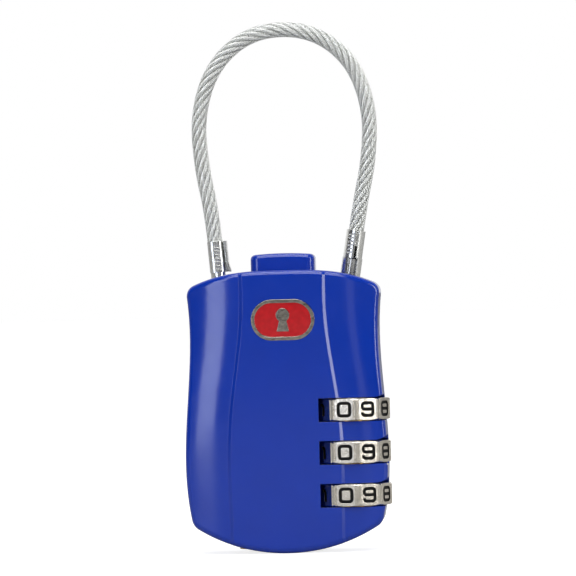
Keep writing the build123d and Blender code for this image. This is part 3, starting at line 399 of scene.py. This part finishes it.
def cast_zinc():
    """Zinc alloy as it leaves the die: cool grey, frosty, with soft flow marks."""
    material, tree, surface = shader("as_cast_zinc", Metallic=1.0)
    mottled(tree, surface, spread(tree, grain(tree, 2.2, (1, 1, 0.4)), 0.0, 1.0), srgb("A8AAAD"), 0.75)
    tree.links.new(spread(tree, grain(tree, 0.5), 0.38, 0.6), surface.inputs["Roughness"])
    rounded_relief(tree, surface, grain(tree, 0.3), 0.01, edge_mm=0.08)
    return material


def machined_brass():
    """Free-cutting brass: yellow metal with level turning lines and a slight brown tarnish."""
    material, tree, surface = shader("machined_brass", Metallic=1.0)
    lines = grain(tree, 0.09, stretch=(0.05, 0.05, 1), detail=2.0)
    mottled(tree, surface, spread(tree, grain(tree, 1.1), 0.0, 1.0), srgb("D9B56A"), 0.7)
    tree.links.new(spread(tree, lines, 0.18, 0.36), surface.inputs["Roughness"])
    rounded_relief(tree, surface, lines, 0.004, edge_mm=0.06)
    return material


def fired_enamel(colour):
    """Soft enamel poured in the badge: clear, glassy and deepest where it is thick, with a
    slightly dished top and specks of pigment."""
    material, tree, surface = shader("poured_red_enamel", IOR=1.52, Coat_Weight=1.0, Coat_Roughness=0.03)
    mottled(tree, surface, spread(tree, grain(tree, 0.7), 0.0, 1.0), colour, 0.78)
    tree.links.new(spread(tree, grain(tree, 0.5), 0.12, 0.2), surface.inputs["Roughness"])
    rounded_relief(tree, surface, grain(tree, 2.0, detail=1.0), 0.02, edge_mm=0.12)
    return material


# ---------------------------------------------------------------- shapes


def add_object(name, mesh, *materials):
    """A new object at the origin that shows the mesh."""
    made = bpy.data.objects.new(name, mesh)
    bpy.context.scene.collection.objects.link(made)
    for material in materials:
        mesh.materials.append(material)
    return made


def settled(source):
    """A plain mesh of an object with all its modifiers taken in."""
    bpy.context.view_layer.update()
    evaluated = source.evaluated_get(bpy.context.evaluated_depsgraph_get())
    mesh = bpy.data.meshes.new_from_object(evaluated)
    data = source.data
    bpy.data.objects.remove(source)
    if data.users == 0:
        bpy.data.batch_remove([data])
    return mesh


def node_tree(name, floats, integers=()):
    """An empty geometry tree with its named inputs, its group input node and their identifiers."""
    tree = bpy.data.node_groups.new(name, "GeometryNodeTree")
    tree.interface.new_socket("Geometry", in_out="INPUT", socket_type="NodeSocketGeometry")
    tree.interface.new_socket("Geometry", in_out="OUTPUT", socket_type="NodeSocketGeometry")
    for label in floats:
        tree.interface.new_socket(label, in_out="INPUT", socket_type="NodeSocketFloat")
    for label in integers:
        tree.interface.new_socket(label, in_out="INPUT", socket_type="NodeSocketInt")
    tree.interface.new_socket("Material", in_out="INPUT", socket_type="NodeSocketMaterial")
    return tree, add_node(tree, "NodeGroupInput").outputs


def end_tree(tree, geometry, material):
    """Closes a tree: real geometry with its material."""
    real = add_node(tree, "GeometryNodeRealizeInstances", {"Geometry": geometry})
    painted = add_node(
        tree, "GeometryNodeSetMaterial", {"Geometry": real.outputs["Geometry"], "Material": material}
    )
    add_node(tree, "NodeGroupOutput", {"Geometry": painted.outputs["Geometry"]})


def run_tree(source, tree, **values):
    """The mesh that a tree makes of an object, with its inputs set by their identifiers."""
    modifier = source.modifiers.new(tree.name, "NODES")
    modifier.node_group = tree
    for item in tree.interface.items_tree:
        key = item.name.lower().replace(" ", "_")
        if item.in_out == "INPUT" and key in values:
            modifier[item.identifier] = values[key]
    return settled(source)


def sharpen(mesh):
    """Smooth faces with sharp edges where two faces meet at a clear angle."""
    shape = bmesh.new()
    shape.from_mesh(mesh)
    for face in shape.faces:
        face.smooth = True
    for edge in shape.edges:
        edge.smooth = len(edge.link_faces) == 2 and edge.calc_face_angle() < SHARP_ANGLE
    shape.to_mesh(mesh)
    shape.free()


def merged_copy(node):
    """A closed copy of a CAD node's mesh."""
    shape = bmesh.new()
    shape.from_mesh(frame["nodes"][node].data)
    bmesh.ops.remove_doubles(shape, verts=shape.verts, dist=0.0005 * MM)
    mesh = bpy.data.meshes.new(node + "_copy")
    shape.to_mesh(mesh)
    shape.free()
    return mesh


def stroke_tree():
    """Strokes with rounded corners swept as a bar of the stroke's width and twice its depth."""
    tree, given = node_tree("engraved_stroke", ["Stroke", "Height", "Corner"])
    rounded = add_node(
        tree, "GeometryNodeFilletCurve",
        {"Curve": given["Geometry"], "Radius": given["Corner"], "Limit Radius": True, "Count": 5},
        mode="POLY",
    )
    upright = add_node(
        tree, "GeometryNodeSetCurveNormal", {"Curve": rounded.outputs["Curve"]}, mode="Z_UP"
    )
    bar = add_node(
        tree, "GeometryNodeCurvePrimitiveQuadrilateral",
        {"Width": given["Stroke"], "Height": given["Height"]},
    )
    swept = add_node(
        tree, "GeometryNodeCurveToMesh",
        {"Curve": upright.outputs["Curve"], "Profile Curve": bar.outputs["Curve"], "Fill Caps": True},
    )
    end_tree(tree, swept.outputs["Mesh"], given["Material"])
    return tree


def digit_cutter(digit, tree, sizes, paint):
    """One digit as a solid in the XY plane, centred on it, to be sunk into a dial face."""
    half_width = (sizes.digit_width - sizes.stroke) / 2
    half_height = (sizes.digit_height - sizes.stroke) / 2
    drawing = bpy.data.curves.new("digit", "CURVE")
    drawing.dimensions = "3D"
    for stroke in DIGIT_STROKES[digit]:
        closed = stroke[0] == stroke[-1]
        letters = stroke[:-1] if closed else stroke
        spline = drawing.splines.new("POLY")
        spline.points.add(len(letters) - 1)
        spline.use_cyclic_u = closed
        for point, letter in zip(spline.points, letters):
            across, up = STROKE_POINTS[letter]
            point.co = (across * half_width, up * half_height, 0, 1)
    source = bpy.data.objects.new("digit", drawing)
    bpy.context.scene.collection.objects.link(source)
    return run_tree(
        source, tree, stroke=sizes.stroke, height=2 * sizes.depth, corner=sizes.corner, material=paint
    )


def face_frame(centre, angle, distance):
    """Placement of a digit on the dial face that looks out at an angle: X across, Z outwards."""
    outward = Vector((math.cos(angle), math.sin(angle), 0))
    across = Vector((0, 0, 1)).cross(outward)
    rows = Matrix((across, Vector((0, 0, 1)), outward)).transposed().to_4x4()
    return Matrix.Translation(centre + outward * distance) @ rows


def number_dial(sizes, paint, nickel):
    """The first dial with its ten digits engraved and painted."""
    low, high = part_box("dial_1")
    centre = (low + high) / 2
    pitch = math.radians(360 / DIGIT_COUNT)
    mesh = merged_copy("dial_1")
    reach = max(Vector((v.co.x - centre.x, v.co.y - centre.y, 0)).length for v in mesh.vertices)
    apothem = reach * math.cos(pitch / 2 - math.radians(DIAL_RIB_HALF_ANGLE))
    tree = stroke_tree()
    cutter = bmesh.new()
    for digit in range(DIGIT_COUNT):
        piece = digit_cutter(digit, tree, sizes, paint)
        angle = math.radians(FRONT_DIGIT_ANGLE) - pitch * digit
        piece.transform(face_frame(centre, angle, apothem))
        cutter.from_mesh(piece)
    bmesh.ops.recalc_face_normals(cutter, faces=cutter.faces)
    cutter_mesh = bpy.data.meshes.new("digit_cutter")
    cutter.to_mesh(cutter_mesh)
    cutter.free()
    tool = add_object("digit_cutter", cutter_mesh, paint)
    blank = add_object("dial_blank", mesh, nickel)
    cut = blank.modifiers.new("engrave", "BOOLEAN")
    cut.object = tool
    cut.operation = "DIFFERENCE"
    cut.solver = "EXACT"
    cut.use_self = True
    cut.material_mode = "TRANSFER"
    dial = settled(blank)
    bpy.data.objects.remove(tool)
    sharpen(dial)
    return dial


def terminal_point(axis, along):
    """A point on a terminal's leaning axis, that many mm from its foot."""
    x, z, lean = axis
    angle = math.radians(lean)
    return (x + along * math.sin(angle), z + along * math.cos(angle))


def cable_line():
    """Points of the rope's smooth middle line, from inside one ferrule to inside the other."""
    corners = [terminal_point(CAPTIVE_AXIS, ROPE_START), terminal_point(CAPTIVE_AXIS, CAPTIVE_CORNER)]
    corners += CABLE_LOOP
    corners += [terminal_point(FREE_AXIS, FREE_CORNER), terminal_point(FREE_AXIS, ROPE_END)]
    route = bpy.data.curves.new("cable_route", "CURVE")
    route.dimensions = "3D"
    route.resolution_u = 24
    spline = route.splines.new("NURBS")
    spline.points.add(len(corners) - 1)
    for point, (x, z) in zip(spline.points, corners):
        point.co = (x * MM, 0, z * MM, 1)
    spline.order_u = 3
    spline.use_endpoint_u = True
    source = bpy.data.objects.new("cable_route", route)
    bpy.context.scene.collection.objects.link(source)
    mesh = settled(source)
    return [v.co.copy() for v in mesh.vertices]


def between(line, start, end):
    """The part of a line of points from one distance along it to another."""
    kept, gone = [], 0.0
    for a, b in zip(line, line[1:]):
        step = (b - a).length
        for mark in (start, end):
            if gone <= mark < gone + step:
                kept.append(a.lerp(b, (mark - gone) / step))
        gone += step
        if start < gone < end:
            kept.append(b.copy())
    return kept


def line_length(line):
    """Length of a chain of points."""
    return sum((b - a).length for a, b in zip(line, line[1:]))


def line_object(name, line):
    """An object whose mesh is a chain of edges along the line."""
    mesh = bpy.data.meshes.new(name)
    mesh.from_pydata([tuple(p) for p in line], [(i, i + 1) for i in range(len(line) - 1)], [])
    return add_object(name, mesh)


def wire_tree():
    """Wires laid round strands that are laid round the line, as helices inside helices."""
    tree, given = node_tree(
        "laid_wires",
        ["Sample", "Strand Radius", "Wire Circle", "Wire Radius", "Lay", "Wire Lay"],
        ["Strands", "Wires"],
    )
    line = add_node(tree, "GeometryNodeMeshToCurve", {"Mesh": given["Geometry"]})
    fine = add_node(
        tree, "GeometryNodeResampleCurve",
        {"Curve": line.outputs["Curve"], "Length": given["Sample"]}, mode="LENGTH",
    )
    total = add_node(
        tree, "ShaderNodeMath", {0: given["Strands"], 1: given["Wires"]}, operation="MULTIPLY"
    )
    copies = add_node(
        tree, "GeometryNodeDuplicateElements",
        {"Geometry": fine.outputs["Curve"], "Amount": total.outputs[0]}, domain="SPLINE",
    )
    index = copies.outputs["Duplicate Index"]
    share = add_node(tree, "ShaderNodeMath", {0: index, 1: given["Wires"]}, operation="DIVIDE")
    strand = add_node(tree, "ShaderNodeMath", {0: share.outputs[0]}, operation="FLOOR")
    wire = add_node(tree, "ShaderNodeMath", {0: share.outputs[0]}, operation="FRACT")
    along = add_node(tree, "GeometryNodeSplineParameter").outputs["Length"]
    tangent = add_node(tree, "GeometryNodeInputTangent").outputs["Tangent"]
    across = add_node(
        tree, "ShaderNodeVectorMath", {0: tangent, 1: (0, 1, 0)}, operation="CROSS_PRODUCT"
    )

    def helix(start, lay, radius):
        """Offset from the line of a helix with that start, lay and radius."""
        turns = add_node(tree, "ShaderNodeMath", {0: along, 1: lay}, operation="DIVIDE")
        phase = add_node(tree, "ShaderNodeMath", {0: turns.outputs[0], 1: start}, operation="ADD")
        angle = add_node(tree, "ShaderNodeMath", {0: phase.outputs[0], 1: math.tau}, operation="MULTIPLY")
        parts = []
        for function, direction in (("COSINE", across.outputs[0]), ("SINE", (0, 1, 0))):
            wave = add_node(tree, "ShaderNodeMath", {0: angle.outputs[0]}, operation=function)
            size = add_node(tree, "ShaderNodeMath", {0: wave.outputs[0], 1: radius}, operation="MULTIPLY")
            part = add_node(
                tree, "ShaderNodeVectorMath", {0: direction, "Scale": size.outputs[0]}, operation="SCALE"
            )
            parts.append(part.outputs[0])
        return add_node(tree, "ShaderNodeVectorMath", {0: parts[0], 1: parts[1]}, operation="ADD").outputs[0]

    strand_start = add_node(
        tree, "ShaderNodeMath", {0: strand.outputs[0], 1: given["Strands"]}, operation="DIVIDE"
    )
    outer = helix(strand_start.outputs[0], given["Lay"], given["Strand Radius"])
    inner = helix(wire.outputs[0], given["Wire Lay"], given["Wire Circle"])
    offset = add_node(tree, "ShaderNodeVectorMath", {0: outer, 1: inner}, operation="ADD")
    laid = add_node(
        tree, "GeometryNodeSetPosition",
        {"Geometry": copies.outputs["Geometry"], "Offset": offset.outputs[0]},
    )
    round_wire = add_node(
        tree, "GeometryNodeCurvePrimitiveCircle", {"Resolution": 6, "Radius": given["Wire Radius"]}
    )
    swept = add_node(
        tree, "GeometryNodeCurveToMesh",
        {"Curve": laid.outputs["Geometry"], "Profile Curve": round_wire.outputs["Curve"], "Fill Caps": True},
    )
    smooth = add_node(tree, "GeometryNodeSetShadeSmooth", {"Geometry": swept.outputs["Mesh"]})
    end_tree(tree, smooth.outputs["Geometry"], given["Material"])
    return tree


def tube_tree():
    """A closed round tube along the line."""
    tree, given = node_tree("coating_tube", ["Sample", "Radius"])
    line = add_node(tree, "GeometryNodeMeshToCurve", {"Mesh": given["Geometry"]})
    fine = add_node(
        tree, "GeometryNodeResampleCurve",
        {"Curve": line.outputs["Curve"], "Length": given["Sample"]}, mode="LENGTH",
    )
    ring = add_node(
        tree, "GeometryNodeCurvePrimitiveCircle", {"Resolution": 32, "Radius": given["Radius"]}
    )
    swept = add_node(
        tree, "GeometryNodeCurveToMesh",
        {"Curve": fine.outputs["Curve"], "Profile Curve": ring.outputs["Curve"], "Fill Caps": True},
    )
    end_tree(tree, swept.outputs["Mesh"], given["Material"])
    return tree


# ---------------------------------------------------------------- operators


# The finishes by the record's slot names, and the digits' paint, filled by the finishes step
FINISHES = {}


class PADLOCK_OT_finishes(bpy.types.Operator):
    """Make the finishes and put them on the pieces that keep their shape"""
    bl_idname = "padlock.finishes"
    bl_label = "Finishes"

    def execute(self, context):
        given = context.scene.padlock_finish
        FINISHES.update({
            "blue_paint": blue_lacquer(given.lacquer),
            "nickel": nickel_plate(given.nickel),
            "red_enamel": fired_enamel(given.enamel),
            "steel": turned_steel(),
            "crimp_steel": crimped_steel(given.steel),
            "spring_steel": spring_steel(),
            "rope_steel": rope_wire(given.steel),
            "clear_vinyl": clear_vinyl(),
            "zinc": cast_zinc(),
            "brass": machined_brass(),
            "digit_paint": digit_paint(),
        })
        for name, node in frame["nodes"].items():
            slot = node.material_slots[0].material.name
            if slot not in FINISHES:
                raise RuntimeError(f"{name} has no finish for slot {slot}")
            node.material_slots[0].material = FINISHES[slot]
        return {"FINISHED"}


class PADLOCK_OT_dials(bpy.types.Operator):
    """Engrave and paint the digits of the three dials"""
    bl_idname = "padlock.dials"
    bl_label = "Numbered Dials"

    def execute(self, context):
        sizes = context.scene.padlock_dials
        first = number_dial(sizes, FINISHES["digit_paint"], FINISHES["nickel"])
        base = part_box("dial_1")[0].z
        for k in range(1, DIAL_COUNT + 1):
            mesh = first.copy()
            mesh.transform(Matrix.Translation((0, 0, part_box(f"dial_{k}")[0].z - base)))
            dial = add_object(f"numbered_dial_{k}", mesh)
            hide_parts(f"dial_{k}")
            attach(dial, f"dial_{k}")
        return {"FINISHED"}


class PADLOCK_OT_cable(bpy.types.Operator):
    """Lay the wire rope and its clear coating along the loop"""
    bl_idname = "padlock.cable"
    bl_label = "Cable Loop"

    def execute(self, context):
        sizes = context.scene.padlock_cable
        line = cable_line()
        strand_radius = sizes.rope / 6
        rope_mesh = run_tree(
            line_object("rope_line", line), wire_tree(), sample=ROPE_SAMPLE,
            strand_radius=2 * strand_radius, wire_circle=WIRE_CIRCLE_SHARE * strand_radius,
            wire_radius=WIRE_SHARE * strand_radius, lay=-sizes.lay, wire_lay=sizes.wire_lay,
            strands=sizes.strands, wires=WIRES_PER_STRAND, material=FINISHES["rope_steel"],
        )
        rope = add_object("wire_rope", rope_mesh)
        coated = between(
            line, (JACKET_START - ROPE_START) * MM, line_length(line) - (JACKET_END - ROPE_END) * MM
        )
        jacket_mesh = run_tree(
            line_object("jacket_line", coated), tube_tree(), sample=COATING_SAMPLE,
            radius=sizes.jacket / 2, material=FINISHES["clear_vinyl"],
        )
        sharpen(jacket_mesh)
        jacket = add_object("clear_coating", jacket_mesh)
        for piece, node, slot in (
            (rope, "cable_core", "rope_steel"),
            (jacket, "cable_jacket", "clear_vinyl"),
        ):
            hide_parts(node)
            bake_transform(piece)
        return {"FINISHED"}


class PADLOCK_OT_springs(bpy.types.Operator):
    """Replace each coil spring with a copy finished in spring steel"""
    bl_idname = "padlock.springs"
    bl_label = "Coil Springs"

    def execute(self, context):
        for node, presser in SPRINGS.items():
            spring = add_object("coiled_" + node, frame["nodes"][node].data.copy())
            spring.data.materials[0] = FINISHES["spring_steel"]
            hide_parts(node)
            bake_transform(spring)
        return {"FINISHED"}


class PADLOCK_OT_stage(bpy.types.Operator):
    """Set up the floor, the studio lights and the camera"""
    bl_idname = "padlock.stage"
    bl_label = "Stage"

    def execute(self, context):
        place_camera(context.scene.padlock_stage)
        lay_floor()
        light_studio()
        context.scene.view_settings.view_transform = "Standard"
        return {"FINISHED"}


def place_camera(settings):
    """A long lens at the front, level with the middle of the lock."""
    camera_data = bpy.data.cameras.new("studio_camera")
    camera = bpy.data.objects.new("studio_camera", camera_data)
    bpy.context.scene.collection.objects.link(camera)
    away = Vector((math.sin(settings.azimuth), -math.cos(settings.azimuth), 0))
    camera_data.sensor_width = SENSOR_WIDTH
    camera_data.lens = camera_data.sensor_width * settings.distance / settings.view_height
    camera_data.clip_start = 0.01
    camera.location = CAMERA_TARGET + away * settings.distance
    facing = (-away).to_track_quat("-Z", "Y").to_matrix().to_4x4()
    camera.matrix_world = (
        Matrix.Translation(camera.location) @ facing @ Matrix.Rotation(settings.roll, 4, "Z")
    )
    bpy.context.scene.camera = camera


def lay_floor():
    """A wide white paper floor that runs out to the horizon."""
    shape = bmesh.new()
    bmesh.ops.create_circle(shape, cap_ends=True, segments=96, radius=FLOOR_RADIUS)
    mesh = bpy.data.meshes.new("studio_floor")
    shape.to_mesh(mesh)
    shape.free()
    material, tree, surface = shader("white_paper", Roughness=0.9, Emission_Color=srgb("FFFFFF"))
    path = add_node(tree, "ShaderNodeLightPath")
    glow = add_node(
        tree, "ShaderNodeMath", {0: path.outputs["Is Camera Ray"], 1: FLOOR_GLOW}, operation="MULTIPLY"
    )
    tree.links.new(glow.outputs[0], surface.inputs["Emission Strength"])
    mottled(tree, surface, spread(tree, grain(tree, 400.0), 0.0, 1.0), srgb("B4B4B2"), 0.98)
    add_object("studio_floor", mesh, material)


def soft_box(name, azimuth, elevation, width, height, watts, tint="FFFFFF"):
    """A rectangular area light that faces the lock."""
    data = bpy.data.lights.new(name, "AREA")
    data.shape = "RECTANGLE"
    data.size = width
    data.size_y = height
    data.energy = watts
    data.color = srgb(tint)[:3]
    lamp = bpy.data.objects.new(name, data)
    bpy.context.scene.collection.objects.link(lamp)
    a, e = math.radians(azimuth), math.radians(elevation)
    away = Vector((math.sin(a) * math.cos(e), -math.cos(a) * math.cos(e), math.sin(e)))
    lamp.matrix_world = (
        Matrix.Translation(LIGHT_TARGET + away * LIGHT_DISTANCE)
        @ (-away).to_track_quat("-Z", "Y").to_matrix().to_4x4()
    )


def light_studio():
    """Soft boxes left and right, a strip far right, two overhead, and a white surround behind."""
    soft_box("left_box", -27, 4, 0.30, 0.9, 4.2, "E6EEFF")
    soft_box("right_box", 22, 6, 0.12, 0.8, 0.2)
    soft_box("right_strip", 60, 4, 0.22, 0.9, 4)
    soft_box("top_box", 0, 80, 0.6, 0.4, 4)
    soft_box("front_top_box", 0, 48, 0.8, 0.5, 5)
    world = bpy.data.worlds.new("studio_world")
    bpy.context.scene.world = world
    world.use_nodes = True
    tree = world.node_tree
    tree.nodes.clear()
    direction = add_node(tree, "ShaderNodeTexCoord").outputs["Generated"]
    parts = add_node(tree, "ShaderNodeSeparateXYZ", {"Vector": direction})
    behind = add_node(
        tree, "ShaderNodeMapRange",
        {"Value": parts.outputs["Y"], "From Min": -0.1, "From Max": 0.5, "To Min": 0.06, "To Max": 0.9},
    )
    path = add_node(tree, "ShaderNodeLightPath")
    seen = add_node(
        tree, "ShaderNodeMath",
        {0: path.outputs["Is Camera Ray"], 1: path.outputs["Is Transmission Ray"]}, operation="MAXIMUM",
    )
    strength = add_node(
        tree, "ShaderNodeMix", {"Factor": seen.outputs[0], "A": behind.outputs["Result"], "B": 1.0},
        data_type="FLOAT",
    )
    surround = add_node(
        tree, "ShaderNodeBackground", {"Color": srgb("FFFFFF"), "Strength": strength.outputs[0]}
    )
    add_node(tree, "ShaderNodeOutputWorld", {"Surface": surround.outputs["Background"]})


class PADLOCK_PT_panel(bpy.types.Panel):
    """Sizes, colours and steps of the padlock"""
    bl_idname = "PADLOCK_PT_panel"
    bl_label = "Luggage Padlock"
    bl_space_type = "VIEW_3D"
    bl_region_type = "UI"
    bl_category = "Padlock"

    def draw(self, context):
        for group in GROUPS:
            settings = getattr(context.scene, group)
            for name in settings.__annotations__:
                self.layout.prop(settings, name)
        for step in STEPS:
            self.layout.operator(step.bl_idname)


GROUPS = {
    "padlock_finish": FinishSettings,
    "padlock_dials": DialSettings,
    "padlock_cable": CableSettings,
    "padlock_stage": StageSettings,
}
STEPS = [
    PADLOCK_OT_stage, PADLOCK_OT_finishes, PADLOCK_OT_cable, PADLOCK_OT_dials, PADLOCK_OT_springs,
]


def register():
    for group, kind in GROUPS.items():
        bpy.utils.register_class(kind)
        setattr(bpy.types.Scene, group, PointerProperty(type=kind))
    for kind in (*STEPS, PADLOCK_PT_panel):
        bpy.utils.register_class(kind)


def unregister():
    for kind in (PADLOCK_PT_panel, *reversed(STEPS)):
        bpy.utils.unregister_class(kind)
    for group, kind in GROUPS.items():
        delattr(bpy.types.Scene, group)
        bpy.utils.unregister_class(kind)


def main():
    """Register the add-on and run its steps in order."""
    register()
    bpy.ops.padlock.stage()
    bpy.ops.padlock.finishes()
    bpy.ops.padlock.cable()
    bpy.ops.padlock.dials()
    bpy.ops.padlock.springs()


if __name__ == "__main__":
    main()
